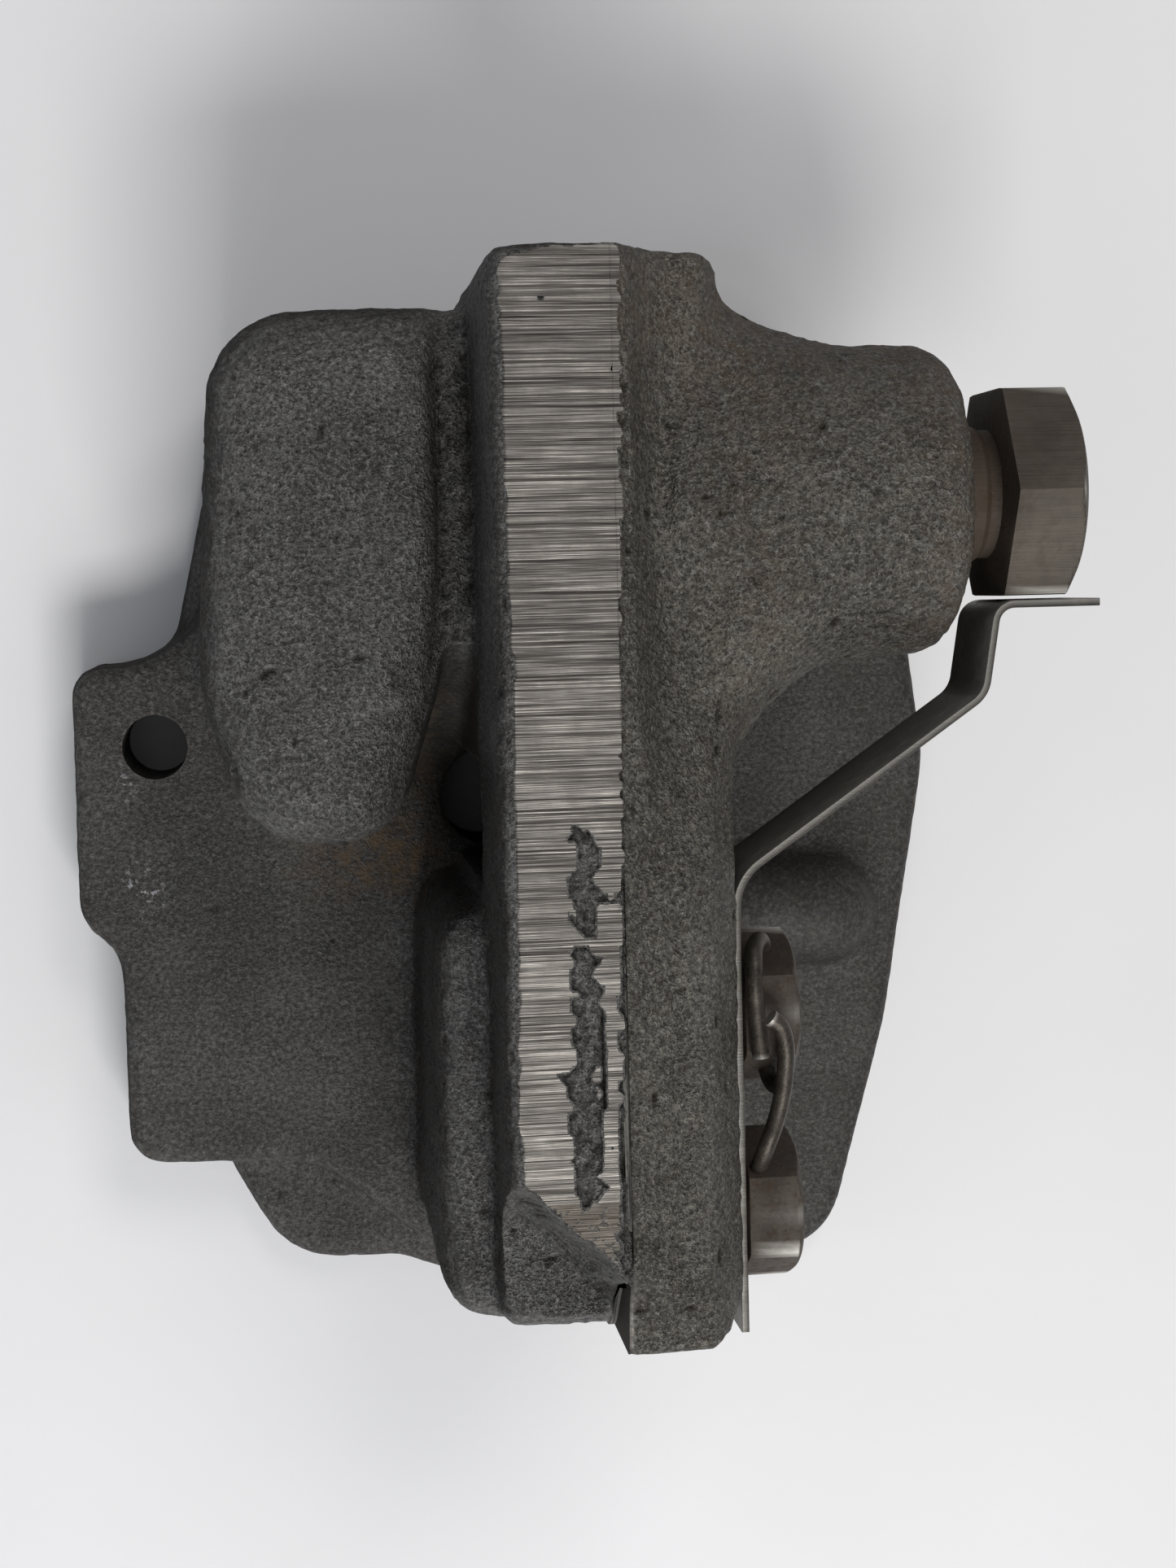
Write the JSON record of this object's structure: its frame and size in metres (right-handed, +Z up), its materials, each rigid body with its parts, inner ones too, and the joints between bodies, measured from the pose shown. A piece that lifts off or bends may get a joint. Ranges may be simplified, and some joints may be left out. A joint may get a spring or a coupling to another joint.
{
  "type": "steam trap",
  "caption": "Foot-mounted float steam trap: two bolted iron castings, a float chamber, and a relief adjusting screw held by a bent lock strap and wired cap screws.",
  "frame": {"origin": "on the foot's flat face, in the plane of the cover joint", "axes": "+Z up from the foot's face, +X from the body casting towards the cover and the adjusting screw, +Y along the upright wall towards the relief line"},
  "size_m": [0.0972, 0.1046, 0.068],
  "materials": {
    "body_iron": "sand cast, dark, upright wall snag ground",
    "cover_iron": "sand cast, dark",
    "gasket_sheet": "matt compressed sheet",
    "rusty_steel": "dull, brown with light rust",
    "screw_steel": "dull brown-grey, fine machining lines",
    "strap_steel": "dark sheet steel with a bright sheared edge",
    "wire_steel": "dull, bright at the cut ends",
    "spring_steel": "oiled",
    "float_steel": "pressed sheet, satin",
    "valve_brass": "turned",
    "seal_rubber": "matt"
  },
  "bodies": {
    "housing": {"body_casting": "body_iron", "cover_casting": "cover_iron", "spring_housing": "cover_iron", "cover_gasket": "gasket_sheet", "cap_screw_upper": "rusty_steel", "cap_screw_lower": "rusty_steel", "cover_screws": "rusty_steel", "dowel_pins": "spring_steel", "lock_wire": "wire_steel", "lock_strap": "strap_steel", "screw_packing": "seal_rubber", "relief_seat": "valve_brass", "valve_seat": "valve_brass", "seat_gasket": "gasket_sheet", "lever_bracket": "float_steel", "lever_pin": "spring_steel", "pin_clips": "spring_steel", "bracket_screws": "spring_steel", "strainer_screen": "float_steel", "inlet_seal": "seal_rubber", "outlet_seal": "seal_rubber", "relief_spring": "spring_steel"},
    "screw": {"adjusting_screw": "screw_steel", "spring_cap": "valve_brass"},
    "relief": {"relief_valve": "valve_brass"},
    "float": {"float_ball": "float_steel", "float_lever": "float_steel", "valve_head": "valve_brass"}
  },
  "joints": [
    {"name": "float_swing", "type": "hinge", "parent": "housing", "child": "float", "pos_m": [0.0035, 0.03, 0.016], "axis": [0, 1, 0], "range_deg": [0, 18]},
    {"name": "screw_turn", "type": "hinge", "parent": "housing", "child": "screw", "pos_m": [0.038, 0.03, 0.05], "axis": [1, 0, 0], "range_deg": [-2.5, 2.5]},
    {"name": "relief_lift", "type": "slide", "parent": "housing", "child": "relief", "axis": [1, 0, 0], "range_m": [0, 0.0008], "stiffness_N_per_m": 4000, "deforming": ["relief_spring"]}
  ]
}
